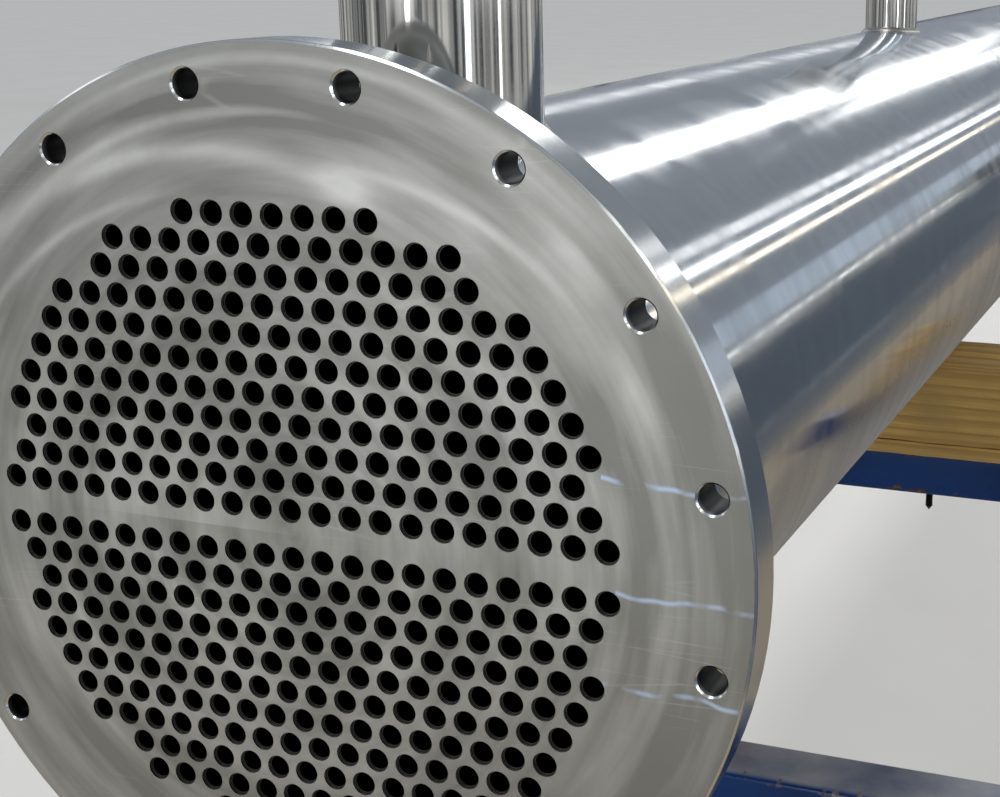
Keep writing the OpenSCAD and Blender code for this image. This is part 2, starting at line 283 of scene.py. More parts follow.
floor_skin, tree, skin = new_skin("pale_floor", Roughness=0.65, Emission_Strength=FLOOR_GLOW)
cloud = spread(tree, noise_value(tree, object_place(tree), 1.3, 5), 0.3, 0.7)
feed(tree, skin, Base_Color=blend_colours(tree, cloud, (0.62, 0.61, 0.59, 1), (0.68, 0.67, 0.65, 1)),
     Emission_Color=blend_colours(tree, seen_directly(tree), (0, 0, 0, 1), (1.0, 0.985, 0.95, 1)))
shape = bmesh.new()
bmesh.ops.create_grid(shape, x_segments=1, y_segments=1, size=FLOOR_HALF)
floor = object_of(shape, "floor", floor_skin)
print("floor:", 2 * FLOOR_HALF, "metres square")


# %% Makers of lamps
LAMP_WATTS_PER_AREA = math.pi
UPRIGHT_LENGTH = 2.6


def lamp(name, place, size, radiance, colour, aim):
    """A rectangular soft lamp, with the brightness that a mirror would show."""
    data = bpy.data.lights.new(name, "AREA")
    data.shape = "RECTANGLE"
    data.size, data.size_y = size
    data.energy = radiance * LAMP_WATTS_PER_AREA * size[0] * size[1]
    data.color = colour
    made = bpy.data.objects.new(name, data)
    made.location = place
    made.rotation_euler = aim
    made.visible_camera = False
    bpy.context.scene.collection.objects.link(made)


def strip(name, angle, distance, width, near, far, radiance, colour):
    """A lamp parallel to the shell, at an angle round its axis that is 0 to the right and 90 overhead.
    near and far are measured from the front face."""
    a = math.radians(angle)
    x, z = distance * math.cos(a), distance * math.sin(a)
    place = (x, FRONT_FACE + (near + far) / 2, AXIS_HEIGHT + z)
    lamp(name, place, (width, far - near), radiance, colour, (0, math.atan2(x, z), 0))


def upright_lamp(name, azimuth, distance, width, low_z, radiance, colour):
    """A tall lamp at an azimuth round the front nozzle, 0 to the right and -90 towards the camera."""
    a = math.radians(azimuth)
    nozzle_y = NOZZLES["front"][0]
    place = (distance * math.cos(a), nozzle_y + distance * math.sin(a), low_z + UPRIGHT_LENGTH / 2)
    lamp(name, place, (width, UPRIGHT_LENGTH), radiance, colour, (QUARTER, 0, a + QUARTER))


# %% Long lamps over the shell and upright lamps round the front nozzle
WHITE, COOL, WARM, ICY = (1, 1, 1), (0.72, 0.85, 1.0), (1.0, 0.86, 0.66), (0.86, 0.95, 1.0)
strip("lamp_overhead", 99.7, 3.0, 0.66, -3.8, 17.2, 3.4, WHITE)
strip("lamp_overhead_far", 87.6, 3.2, 0.36, 12.2, 27.2, 3.4, WHITE)
strip("lamp_high_right", 51, 4.2, 0.35, -3.8, 21.2, 1.0, WHITE)
strip("lamp_right", 42.7, 4.2, 0.24, -3.8, 23.2, 3.0, WHITE)
strip("lamp_right_warm", 35.3, 4.4, 0.18, -3.8, 23.2, 2.2, WARM)
strip("lamp_low_right", 14.5, 4.0, 0.75, -3.8, 25.2, 0.30, COOL)
strip("lamp_low_right_edge", 5.5, 4.0, 0.06, -3.8, 25.2, 2.0, WHITE)
strip("lamp_left", 150, 3.8, 0.6, -3.8, 17.2, 0.8, WHITE)
upright_lamp("lamp_front", -100, 5.5, 0.5, 0.3, 4.6, WHITE)
upright_lamp("lamp_front_right", -34, 4.6, 0.42, 0.3, 5.4, ICY)
upright_lamp("lamp_side", 5, 4.6, 0.22, 0.3, 2.8, WHITE)
upright_lamp("lamp_front_wall", -107, 5.0, 3.4, 1.25, 0.64, WHITE)


# %% Makers of cards and walls that only mirrors see
NO_SIZE = 1e-6


def glowing_skin(name, **sockets):
    """A nearly black material that glows by itself."""
    return new_skin(name, Base_Color=(0.02, 0.02, 0.02, 1), Roughness=0.9, Emission_Strength=1.0, **sockets)


def stage_for_mirrors(shape, name, material):
    """Adds a piece that is hidden from the camera and from the light on the object."""
    piece = object_of(shape, name, material)
    piece.visible_camera = piece.visible_diffuse = False
    piece.visible_shadow = piece.visible_transmission = False
    print("only in mirrors:", name)


def push_out(shape, extruded, move):
    """Moves the points that an extrusion has just made."""
    points = [g for g in extruded["geom"] if isinstance(g, bmesh.types.BMVert)]
    bmesh.ops.translate(shape, verts=points, vec=move)


def card(name, low, high, glow, upright=False):
    """A thin rectangle between two corners, lying flat or standing across X."""
    low, high = Vector(low), Vector(high)
    shape = bmesh.new()
    bmesh.ops.create_grid(shape, x_segments=1, y_segments=1, size=0.5)
    if upright:
        bmesh.ops.rotate(shape, verts=shape.verts, matrix=Matrix.Rotation(QUARTER, 3, "Y"))
    bmesh.ops.scale(shape, verts=shape.verts, vec=[max(side, NO_SIZE) for side in high - low])
    bmesh.ops.translate(shape, verts=shape.verts, vec=(low + high) / 2)
    stage_for_mirrors(shape, name, glowing_skin(name, Emission_Color=glow)[0])


def ring_of_walls(radius, height):
    """The workshop's walls as the pipes mirror them: upright stripes, dark and pale."""
    shape = bmesh.new()
    bmesh.ops.create_circle(shape, segments=64, radius=radius)
    push_out(shape, bmesh.ops.extrude_edge_only(shape, edges=shape.edges[:]), (0, 0, height))
    material, tree, skin = glowing_skin("walls")
    flat = mapped(tree, add(tree, "TexCoord", {}).outputs["Object"], scale=(0.16, 0.16, 0.0))
    stripe = spread(tree, noise_value(tree, flat, 3.0, 4, 0.7), 0.42, 0.66)
    glow = blend_colours(tree, stripe, (0.035, 0.04, 0.045, 1), (0.80, 0.79, 0.76, 1))
    feed(tree, skin, Emission_Color=glow)
    stage_for_mirrors(shape, "walls", material)


# %% The cards and the walls
ring_of_walls(15.0, 1.7)
card("dark_card", (1.9, FRONT_FACE - 2.8, 0.02), (1.9, FRONT_FACE + 17.2, 1.08),
     (0.060, 0.078, 0.105, 1), upright=True)
card("dark_floor_card", (1.45, FRONT_FACE - 1.5, 0.008), (1.9, FRONT_FACE + 12.0, 0.008),
     (0.075, 0.088, 0.11, 1))
card("brown_card", (-4.0, FRONT_FACE - 1.5, 0.006), (1.88, FRONT_FACE + 12.0, 0.006),
     (0.25, 0.215, 0.165, 1))

# %% [markdown]
# ## Shared effects
#
# Every round surface here was made by turning: a tool ran in circles on the plate, and a polishing
# belt ran round the shell. The marks are long along the circle and narrow across it. One node group
# gives them all. It reads the direction from the axis instead of the angle, so there is no seam
# where the circle closes.

# %% Making a group
def new_group(name, numbers, results):
    """A node group that reads a place, called Vector, and named numbers, and gives other numbers."""
    group = bpy.data.node_groups.new(name, "ShaderNodeTree")
    group.interface.new_socket("Vector", in_out="INPUT", socket_type="NodeSocketVector")
    for label, value in numbers.items():
        socket = group.interface.new_socket(label, in_out="INPUT", socket_type="NodeSocketFloat")
        socket.default_value = value
    for label in results:
        group.interface.new_socket(label, in_out="OUTPUT", socket_type="NodeSocketFloat")
    return group, group.nodes.new("NodeGroupInput").outputs, group.nodes.new("NodeGroupOutput").inputs


# %% Group: marks that run round an axis
CALM_RADIUS = 0.16  # nearer the axis the arcs fade, because they would meet there as a star
round_marks, given, result = new_group(
    "round_marks", {"Arc": 3.0, "Across": 60.0, "Along": 0.0, "Detail": 3.0}, ("Marks", "Radius"))
tree = round_marks
flat = vector_sum(tree, "MULTIPLY", given["Vector"], (1, 1, 0))
radius = length_of(tree, flat)
calm = times(tree, given["Arc"], spread(tree, radius, 0.0, CALM_RADIUS))
towards = vector_sum(tree, "NORMALIZE", flat)
arc = add(tree, "VectorMath", {0: towards, "Scale": calm}, operation="SCALE").outputs[0]
depth = times(tree, parts_of(tree, given["Vector"])["Z"], given["Along"])
lift = times_plus(tree, radius, given["Across"], depth)
place = vector_sum(tree, "ADD", arc, vector_from(tree, z=lift))
tree.links.new(noise_value(tree, place, 1.0, given["Detail"]), result["Marks"])
tree.links.new(radius, result["Radius"])

# %% Group: smudges and fine scratches from handling
handling, given, result = new_group("handling", {"Size": 6.0}, ("Smudge", "Scratch"))
tree = handling
smudge = noise_value(tree, given["Vector"], given["Size"], 5.0, 0.62, 0.6)
cells = mapped(tree, given["Vector"], turn=(0.5, 0.9, 0.4), scale=(3.0, 60.0, 9.0))
to_edge = add(tree, "TexVoronoi", {"Vector": cells, "Scale": 1.0}, feature="DISTANCE_TO_EDGE")
scratch = spread(tree, to_edge.outputs["Distance"], 0.0, 0.02, 1.0, 0.0)
here = spread(tree, noise_value(tree, given["Vector"], 9.0, 2.0, 0.5), 0.56, 0.64)
tree.links.new(smudge, result["Smudge"])
tree.links.new(times(tree, scratch, here), result["Scratch"])

# %% Group: one arc of a polishing disc
polish_arc, given, result = new_group(
    "polish_arc", {"Radius": 0.3, "Angle": 90.0, "Slope": 0.0, "Width": 0.01, "Reach": 20.0}, ("Mark",))
tree = polish_arc
parts = parts_of(tree, given["Vector"])
angle = sum_of(tree, "DEGREES", sum_of(tree, "ARCTAN2", times(tree, parts["Y"], -1.0), parts["X"]))
off_angle = sum_of(tree, "SUBTRACT", angle, given["Angle"])
radius = length_of(tree, vector_from(tree, parts["X"], parts["Y"]))
wanted = times_plus(tree, off_angle, given["Slope"], given["Radius"])
beside = sum_of(tree, "DIVIDE", sum_of(tree, "SUBTRACT", radius, wanted), given["Width"])
beyond = sum_of(tree, "DIVIDE", off_angle, given["Reach"])
far = times_plus(tree, beside, beside, times(tree, beyond, beyond))
tree.links.new(sum_of(tree, "EXPONENT", times(tree, far, -1.0)), result["Mark"])

# %% Group: one wavy smear
wavy_smear, given, result = new_group("wavy_smear", {"Height": 0.0, "From": 0.2, "To": 0.4}, ("Mark",))
tree = wavy_smear
parts = parts_of(tree, given["Vector"])
wave = noise_value(tree, vector_from(tree, parts["X"], given["Height"]), 22.0, 1.0, 0.5)
line = times_plus(tree, wave, 0.02, sum_of(tree, "SUBTRACT", given["Height"], 0.01))
apart = sum_of(tree, "ABSOLUTE", sum_of(tree, "SUBTRACT", parts["Z"], line))
fade = noise_value(tree, given["Vector"], 45.0, 2.0, 0.5)
mark = times(tree, spread(tree, apart, 0.0005, 0.0026, 1.0, 0.0), spread(tree, fade, 0.36, 0.56))
held = between(tree, parts["X"], given["From"], given["To"])
tree.links.new(times(tree, mark, held), result["Mark"])


# %% Using a group
def use_group(tree, group, **values):
    """Puts a group into a tree and gives its outputs."""
    made = tree.nodes.new("ShaderNodeGroup")
    made.node_tree = group
    set_inputs(tree, made, values)
    return made.outputs


print("groups:", [g.name for g in bpy.data.node_groups])

# %% [markdown]
# ## Metals
#
# The tube sheet's face was turned on a lathe and then rubbed down, so broad arcs of sheen cross it, and its
# rim is brighter. The marks are a change of roughness and a very shallow relief, which is what makes the
# arcs move as one walks past. They are also a painted sheen: the colour is lighter along them, up to nearly
# white, and darker along a few, and that part does not move.

# %% Arcs, smears and edges of the tube sheet's face
# Each arc lowers the roughness and paints a sheen into the colour; a negative strength paints a darker band.
FACE_ARCS = (  # radius, angle, slope per degree, width, reach in degrees, strength
    (0.297, 110, 0.00095, 0.0075, 24, 1.05), (0.317, 114, 0.00023, 0.0045, 26, 0.80),
    (0.349, 92, 0.0, 0.0040, 40, 0.40), (0.271, 77, 0.0, 0.0130, 5, 1.00),
    (0.305, 85, 0.0, 0.0070, 13, -0.55), (0.318, 46, 0.0, 0.0130, 8, 0.50),
    (0.308, 25, 0.0, 0.0100, 8, 0.45), (0.335, 150, 0.0003, 0.0060, 20, 0.75),
    (0.290, 60, -0.0005, 0.0045, 16, 0.60), (0.326, 100, 0.0004, 0.0050, 30, -0.45),
    (0.286, 132, 0.0009, 0.0040, 18, 0.60), (0.335, 20, 0.0, 0.0090, 20, -0.30),
    (0.322, -25, 0.0, 0.0120, 16, -0.40), (0.080, 178, 0.0, 0.0700, 40, 0.35))
FACE_SMEARS = (  # height over the axis, start and end along X
    (0.071, 0.25, 0.36), (-0.011, 0.26, 0.36), (-0.082, 0.24, 0.36), (-0.060, -0.37, -0.31))
LIP_DEPTH = 0.0016


def add_arcs(tree, local, sheen):
    """Adds the polishing disc's arcs to the sheen, which lowers the roughness and is also painted into the
    colour as a lighter band.
    """
    for radius, angle, slope, width, reach, strength in FACE_ARCS:
        mark = use_group(tree, polish_arc, Vector=local, Radius=radius, Angle=angle, Slope=slope,
                         Width=width, Reach=reach)["Mark"]
        sheen = times_plus(tree, mark, strength, sheen)
    return spread(tree, sheen, 0.0, 1.3)


def add_smears_and_edges(tree, radius, colour, rough):
    """Bluish smears, the bright rim, a painted shade that makes the holes nearly black inside, and a painted
    glint on their lip.
    """
    from_axis = object_place(tree, (0, 0, -AXIS_HEIGHT))
    for height, start, stop in FACE_SMEARS:
        smear = use_group(tree, wavy_smear, Vector=from_axis, Height=height, From=start, To=stop)["Mark"]
        colour = blend_colours(tree, times(tree, smear, 0.9), colour, (0.62, 0.76, 1.0, 1))
    rim = spread(tree, radius, SHEET_RADIUS - 0.0020, SHEET_RADIUS - 0.0016)
    colour = blend_colours(tree, rim, colour, (0.66, 0.67, 0.67, 1))
    rough = blend_numbers(tree, rim, rough, 0.14)
    # Painted shade: the walls of the holes, deeper than the lip and short of the back face, are nearly
    # black.
    from_middle = sum_of(tree, "ABSOLUTE", parts_of(tree, object_place(tree))["Y"])
    inside = times(tree, spread(tree, from_middle, REAR_FACE - 0.007, REAR_FACE - LIP_DEPTH, 1.0, 0.0),
                   sum_of(tree, "LESS_THAN", rim, 0.5))
    before_back = sum_of(tree, "GREATER_THAN", from_middle, REAR_FACE - SHEET_THICKNESS + 0.0005)
    colour = blend_colours(tree, times(tree, inside, before_back), colour, (0.014, 0.013, 0.012, 1))
    # Painted glint: the first millimetre and a half of each hole's wall is nearly white and smoother.
    lip = between(tree, from_middle, REAR_FACE - LIP_DEPTH, REAR_FACE - 0.0002)
    colour = blend_colours(tree, lip, colour, (0.92, 0.92, 0.91, 1))
    return colour, blend_numbers(tree, lip, rough, 0.20)


# %% Turned face of the tube sheets and flanges
def turned_metal(name, shift, turn, sheet=False):
    """Grey machined metal with arcs round the axis that shift and turn give."""
    material, tree, skin = new_skin(name, Metallic=1.0, Anisotropic=0.35)
    local = object_place(tree, shift, turn)
    broad = use_group(tree, round_marks, Vector=local, Arc=1.5, Across=26.0, Along=0.0, Detail=2.0)
    narrow = use_group(tree, round_marks, Vector=local, Arc=4.0, Across=150.0, Along=120.0, Detail=3.0)
    fine = use_group(tree, round_marks, Vector=local, Arc=14.0, Across=1300.0, Along=1300.0, Detail=2.0)
    worn = use_group(tree, handling, Vector=local, Size=7.0)
    mixed = times_plus(tree, narrow["Marks"], 0.22, times(tree, broad["Marks"], 0.78))
    sheen = spread(tree, mixed, 0.38, 0.64, 0.0, 0.55)
    if sheet:
        sheen = add_arcs(tree, local, sheen)
    dull = spread(tree, worn["Smudge"], 0.35, 0.7)
    # Painted sheen: the colour runs from dark grey to nearly white as the sheen grows.
    colour = blend_colours(tree, sheen, (0.31, 0.31, 0.29, 1), (0.97, 0.97, 0.94, 1))
    colour = blend_colours(tree, times(tree, dull, 0.40), colour, (0.30, 0.295, 0.27, 1))
    colour = blend_colours(tree, times(tree, worn["Scratch"], 0.25), colour, (0.75, 0.75, 0.74, 1))
    rough = times_plus(tree, dull, 0.08, times_plus(tree, sheen, -0.10, 0.42))
    if sheet:
        colour, rough = add_smears_and_edges(tree, broad["Radius"], colour, rough)
        outwards = vector_sum(tree, "SUBTRACT", object_place(tree), (0, 0, AXIS_HEIGHT))
        feed(tree, skin, Tangent=vector_sum(tree, "MULTIPLY", outwards, (1, 0, 1)))
    relief = times_plus(tree, narrow["Marks"], 0.4, times(tree, fine["Marks"], 0.2))
    feed(tree, skin, Base_Color=colour, Roughness=rough, Normal=bump_of(tree, relief, 0.3, 0.0004))
    return material


sheet_metal = turned_metal("turned_face", (0, AXIS_HEIGHT, 0), (QUARTER, 0, 0), sheet=True)
flange_metal = {place: turned_metal(place + "_flange_metal", (0, -y, 0), (0, 0, 0))
                for place, (y, _) in NOZZLES.items()}
print("turned:", sheet_metal.name, "and", len(flange_metal), "flanges")


# %% Polished shell and nozzle pipes
def polished_metal(name, shift, turn, colours, roughness, smeared_along, dull_below=0.0):
    """Bright plate with belt marks round the axis, clouds and a few scratches. A mirror image smears
    across the belt marks, which is along the axis, so the long streaks stay crisp. dull_below is the
    roughness that the underside has on top of the rest."""
    material, tree, skin = new_skin(name, Metallic=1.0, Anisotropic=0.55)
    local = object_place(tree, shift, turn)
    belt = use_group(tree, round_marks, Vector=local, Arc=2.2, Across=0.0, Along=420.0, Detail=3.0)
    band = use_group(tree, round_marks, Vector=local, Arc=1.3, Across=0.0, Along=22.0, Detail=2.0)
    worn = use_group(tree, handling, Vector=local, Size=5.0)
    mixed = times_plus(tree, band["Marks"], 0.5, times(tree, worn["Smudge"], 0.5))
    cloud = spread(tree, mixed, 0.36, 0.64)
    colour = blend_colours(tree, cloud, *colours)
    colour = blend_colours(tree, times(tree, worn["Scratch"], 0.2), colour, (0.85, 0.86, 0.87, 1))
    shine = times_plus(tree, belt["Marks"], 0.4, times(tree, cloud, 0.6))
    rough = spread(tree, shine, 0.2, 0.8, *roughness)
    if dull_below:
        below = spread(tree, parts_of(tree, local)["Y"], 0.02, 0.13)
        rough = times_plus(tree, below, dull_below, rough)
    relief = times_plus(tree, belt["Marks"], 0.04, band["Marks"])
    feed(tree, skin, Base_Color=colour, Roughness=rough, Normal=bump_of(tree, relief, 0.1, 0.0004),
         Tangent=vector_from(tree, *smeared_along))
    return material


shell_metal = polished_metal("polished_shell", (0, AXIS_HEIGHT, 0), (QUARTER, 0, 0),
                             ((0.56, 0.58, 0.60, 1), (0.72, 0.74, 0.75, 1)), (0.15, 0.07), (0, 1, 0), 0.50)
pipe_metal = {place: polished_metal(place + "_pipe_metal", (0, -y, 0), (0, 0, 0),
                                    ((0.62, 0.62, 0.61, 1), (0.74, 0.74, 0.73, 1)), (0.10, 0.05), (0, 0, 1))
              for place, (y, _) in NOZZLES.items()}
print("polished:", shell_metal.name, "and", len(pipe_metal), "pipes")

# %% Tubes, with a painted shade that deepens behind the face, and the plates inside
tube_metal, tree, skin = new_skin("tube_metal", Metallic=1.0)
local = object_place(tree)
from_middle = sum_of(tree, "ABSOLUTE", parts_of(tree, local)["Y"])
# Painted shade: the tubes are nearly black, a little less so just behind the face.
near_end = spread(tree, from_middle, REAR_FACE - 0.0055, REAR_FACE - 0.0031)
feed(tree, skin, Base_Color=blend_colours(tree, near_end, (0.010, 0.009, 0.009, 1), (0.06, 0.058, 0.055, 1)),
     Roughness=spread(tree, noise_value(tree, local, 300.0), 0.3, 0.7, 0.3, 0.45))

inner_plate, tree, skin = new_skin("inner_plate", Metallic=1.0)
mill = noise_value(tree, object_place(tree), 40.0, 5)
feed(tree, skin, Base_Color=blend_colours(tree, mill, (0.30, 0.30, 0.30, 1), (0.45, 0.45, 0.45, 1)),
     Roughness=spread(tree, mill, 0.3, 0.7, 0.35, 0.5), Normal=bump_of(tree, mill, 0.2, 0.0005))
print("inside:", tube_metal.name, inner_plate.name)

# %% [markdown]
# ## Weld, wood and paint
#
# A weld bead is the same steel, but it was molten: its surface is rippled and a little tinted by heat,
# straw-coloured in some places and bluish in others. Softwood is a stack of growth rings. If the
# rings are drawn as real cylinders round a line outside the baulk, the long faces get stripes and the
# sawn ends get arcs, with no seam between them. The trestles are brushed with blue gloss paint, which
# wears off along the edges first, so each tube carries a number, called wear, that is 1 at its edges.

# %% Weld bead
weld_metal, tree, skin = new_skin("weld_bead", Metallic=1.0)
local = object_place(tree)
tint = spread(tree, noise_value(tree, local, 14.0, 3), 0.42, 0.62)
heat = blend_colours(tree, tint, (0.50, 0.43, 0.33, 1), (0.40, 0.42, 0.48, 1))
clean = spread(tree, noise_value(tree, local, 60.0, 3), 0.3, 0.7)
grain = noise_value(tree, local, 420.0, 3)
feed(tree, skin, Base_Color=blend_colours(tree, clean, heat, (0.56, 0.55, 0.53, 1)),
     Roughness=spread(tree, grain, 0.3, 0.7, 0.22, 0.38), Normal=bump_of(tree, grain, 0.3, 0.0003))

# %% Sawn softwood with rings, fibres and knots
RINGS_PER_METRE = 62.0
timber_wood, tree, skin = new_skin("sawn_timber")
board = add(tree, "Attribute", {}, attribute_name="board").outputs["Fac"]
apart = vector_from(tree, times(tree, board, 1.7), times(tree, board, 0.043), times(tree, board, 0.081))
own = vector_sum(tree, "ADD", object_place(tree), apart)
lengthwise = mapped(tree, own, scale=(0.9, 9.0, 9.0))
warp = add(tree, "TexNoise", {"Vector": lengthwise, "Scale": 1.0, "Detail": 2.0}).outputs["Color"]
bent = vector_sum(tree, "MULTIPLY_ADD", warp, (0.05, 0.05, 0.05), own)
heart = mapped(tree, bent, shift=(0.0, 0.11, -0.43), scale=(0.02, 1.0, 1.0))
ring = sum_of(tree, "FRACT", times(tree, length_of(tree, heart), RINGS_PER_METRE))
late_wood = times(tree, spread(tree, ring, 0.35, 0.9), spread(tree, ring, 0.9, 1.0, 1.0, 0.0))
fibre = noise_value(tree, mapped(tree, own, scale=(5.0, 260.0, 260.0)), 1.0, 4.0, 0.5)
saw = noise_value(tree, mapped(tree, own, scale=(310.0, 14.0, 14.0)), 1.0, 2.0, 0.5)
knots = add(tree, "TexVoronoi", {"Vector": mapped(tree, own, scale=(4.0, 9.0, 9.0)), "Scale": 1.0})
knot = spread(tree, knots.outputs["Distance"], 0.07, 0.12, 1.0, 0.0)
stain = spread(tree, noise_value(tree, own, 5.5, 4), 0.40, 0.66)
colour = blend_colours(tree, late_wood, (0.72, 0.44, 0.125, 1), (0.46, 0.26, 0.065, 1))
colour = blend_colours(tree, spread(tree, fibre, 0.40, 0.78, 0.0, 0.50), colour, (0.24, 0.13, 0.032, 1))
colour = blend_colours(tree, times(tree, stain, 0.60), colour, (0.34, 0.23, 0.080, 1))
colour = blend_colours(tree, knot, colour, (0.10, 0.045, 0.014, 1))
relief = times_plus(tree, fibre, 0.7, times_plus(tree, saw, 0.3, times(tree, late_wood, 0.25)))
feed(tree, skin, Base_Color=colour, Roughness=spread(tree, fibre, 0.3, 0.7, 0.62, 0.82),
     Normal=bump_of(tree, relief, 0.5, 0.0012))

# %% Worn blue paint
blue_paint, tree, skin = new_skin("worn_blue_paint", Coat_Roughness=0.12, Specular_IOR_Level=0.2)
local = object_place(tree)
wear = add(tree, "Attribute", {}, attribute_name="wear").outputs["Fac"]
chips = noise_value(tree, local, 34.0, 6, 0.7)
large = noise_value(tree, local, 5.0, 3)
small = noise_value(tree, local, 130.0, 3)
lost = spread(tree, times_plus(tree, wear, 0.34, times_plus(tree, large, 0.25, chips)), 1.02, 1.07)
rusty = spread(tree, times_plus(tree, small, 0.5, large), 0.62, 0.86)
bare = blend_colours(tree, rusty, (0.30, 0.29, 0.28, 1), (0.13, 0.045, 0.018, 1))
patches = spread(tree, large, 0.3, 0.7)
paint = blend_colours(tree, patches, (0.0004, 0.020, 0.105, 1), (0.0008, 0.050, 0.22, 1))
# Dust, and a painted reflection: faces that look upwards turn a patchy pale grey and lose some gloss.
up = parts_of(tree, add(tree, "NewGeometry", {}).outputs["Normal"])["Z"]
grey_top_patches = spread(tree, noise_value(tree, local, 11.0, 5), 0.32, 0.72, 0.30, 0.85)
dust_and_painted_reflection = times(tree, spread(tree, up, 0.6, 0.98), grey_top_patches)
paint = blend_colours(tree, dust_and_painted_reflection, paint, (0.42, 0.42, 0.42, 1))
gloss = times(tree, spread(tree, lost, 0.0, 1.0, 0.3, 0.0), spread(tree, dust_and_painted_reflection, 0.0, 0.5, 1.0, 0.1))
relief = times_plus(tree, lost, -0.6, times(tree, small, 0.35))
feed(tree, skin, Base_Color=blend_colours(tree, lost, paint, bare),
     Metallic=times(tree, lost, spread(tree, rusty, 0.0, 1.0, 0.8, 0.0)),
     Roughness=times_plus(tree, dust_and_painted_reflection, 0.3, spread(tree, chips, 0.3, 0.7, 0.24, 0.4)),
     Coat_Weight=gloss, Normal=bump_of(tree, relief, 0.4, 0.0004))

# %% Black screws
black_steel, tree, skin = new_skin("black_steel", Metallic=0.7)
speck = noise_value(tree, object_place(tree), 260.0, 3)
feed(tree, skin, Base_Color=blend_colours(tree, speck, (0.012, 0.012, 0.013, 1), (0.05, 0.045, 0.042, 1)),
     Roughness=spread(tree, speck, 0.3, 0.7, 0.35, 0.55))
print("skins:", len(bpy.data.materials))

# %% [markdown]
# ## New pieces
#
# Each new piece starts as a small bmesh shape and is carried on by operators. Both ends of the object
# are alike, and the middle of its length is at Y = 0, so one mirror gives the outer pieces at the
# rear. The middle trestle has no such twin.

# %% Finishing a piece
def finish_piece(shape, name, material, stands_for=(), sharp_above=35):
    """Turns a bmesh into an object that rides on the body, with its place in its mesh."""
    bmesh.ops.remove_doubles(shape, verts=shape.verts, dist=NO_SIZE)
    bmesh.ops.recalc_face_normals(shape, faces=shape.faces)
    piece = object_of(shape, name, material)
    piece.data.shade_smooth()
    piece.data.set_sharp_from_angle(angle=math.radians(sharp_above))
    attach(piece, "root")
    if stands_for:
        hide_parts(*stands_for)
    print("  %-22s %6d faces" % (name, len(piece.data.polygons)))


# %% Helpers for shapes
def place_in(shape, part, place=Matrix.Identity(4)):
    """Adds a finished part to a shape, moved by the matrix place."""
    bmesh.ops.transform(part, matrix=place, verts=part.verts)
    data = bpy.data.meshes.new("part")
    part.to_mesh(data)
    part.free()
    shape.from_mesh(data)
    bpy.data.meshes.remove(data)


def everything(shape):
    """Points, edges and faces in one list."""
    return shape.verts[:] + shape.edges[:] + shape.faces[:]


def slice_along(shape, axis, places):
    """Cuts a shape across an axis, so that it has points to move there."""
    normal = Vector([1.0 if i == axis else 0.0 for i in range(3)])
    for place in places:
        bmesh.ops.bisect_plane(shape, geom=everything(shape), plane_co=normal * place, plane_no=normal,
                               dist=1e-7)


def mirrored(shape, axis="Y"):
    """Adds the same shapes on the other side of the middle."""
    bmesh.ops.mirror(shape, geom=everything(shape), matrix=Matrix.Identity(4), merge_dist=-1, axis=axis)


def round_off(shape, geom, radius, segments, what="EDGES"):
    """Rounds edges or corners."""
    bmesh.ops.bevel(shape, geom=geom, offset=radius, segments=segments, profile=0.5, affect=what,
                    material=-1)


def spin_outline(shape, corners, centre, axis, steps, closed=True):
    """Spins an outline once round an axis."""
    verts = [shape.verts.new(c) for c in corners]
    pairs = list(zip(verts, verts[1:] + verts[:1]))
    edges = [shape.edges.new(pair) for pair in (pairs if closed else pairs[:-1])]
    bmesh.ops.spin(shape, geom=verts + edges, cent=centre, axis=axis, dvec=(0, 0, 0), angle=WHOLE_TURN,
                   steps=steps, use_merge=True, use_duplicate=False)


# %% [markdown]
# ## Weld beads
#
# A hand-laid bead is a row of overlapping scales, each a frozen puddle. Its cross-section is spun into
# a ring, and then every point moves by a small wave that runs round the bead and lags behind at its
# middle, which bends the scales into crescents. A nozzle's bead is spun as a flat ring first. Each
# point then drops by as much as the round shell falls away under it, and that gives the saddle.

# %% Bead section and ripples
BEAD_GAP = 0.0003
BEAD_ROOM = 0.0006  # taken off the leg, so that the ripples stay inside the measured weld
BEAD_SHARP_ABOVE = 60


def bead_section(leg, bulge=0.16, points=7):
    """Offsets (outwards, along) of a fillet's rounded face."""
    section = []
    for i in range(points):
        t = i / (points - 1)
        swell = 1 + bulge * math.sin(math.pi * t)
        section.append((leg * (1 - t) * swell, leg * t * swell))
    return section


def ripple(away, inner, leg, angle, pitch, depth):
    """How far a point of the bead moves for the scales, most at the bead's middle. away leads to the
    point from the axis, and angle is the point's place round it."""
    share = math.sin(math.pi * min(max((away.length - inner) / leg, 0), 1))
    phase = angle * inner / pitch + 0.5 * share
    return depth * (abs(2 * (phase - math.floor(phase)) - 1) - 0.5) * share


# %% Welds between the shell and the tube sheets
SHELL_LEG, SHELL_PITCH, SHELL_RIPPLE, SHELL_STEPS = 0.008, 0.0058, 0.0009, 1200
shell_seat = SHELL_RADIUS + BEAD_GAP
for end, face_y, inward in (("front", FRONT_FACE + SHEET_THICKNESS, 1),
                            ("rear", REAR_FACE - SHEET_THICKNESS, -1)):
    shape = bmesh.new()
    outline = [(shell_seat + out, face_y + inward * along, AXIS_HEIGHT)
               for out, along in bead_section(SHELL_LEG - BEAD_ROOM)]
    corner = (shell_seat, face_y, AXIS_HEIGHT)
    spin_outline(shape, outline + [corner], (0, 0, AXIS_HEIGHT), (0, 1, 0), SHELL_STEPS)
    for v in shape.verts:
        away = Vector((v.co.x, 0, v.co.z - AXIS_HEIGHT))
        angle = math.atan2(away.z, away.x)
        v.co += away.normalized() * ripple(away, shell_seat, SHELL_LEG, angle, SHELL_PITCH, SHELL_RIPPLE)
    finish_piece(shape, end + "_shell_weld_bead", weld_metal, [end + "_shell_weld"],
                 BEAD_SHARP_ABOVE)

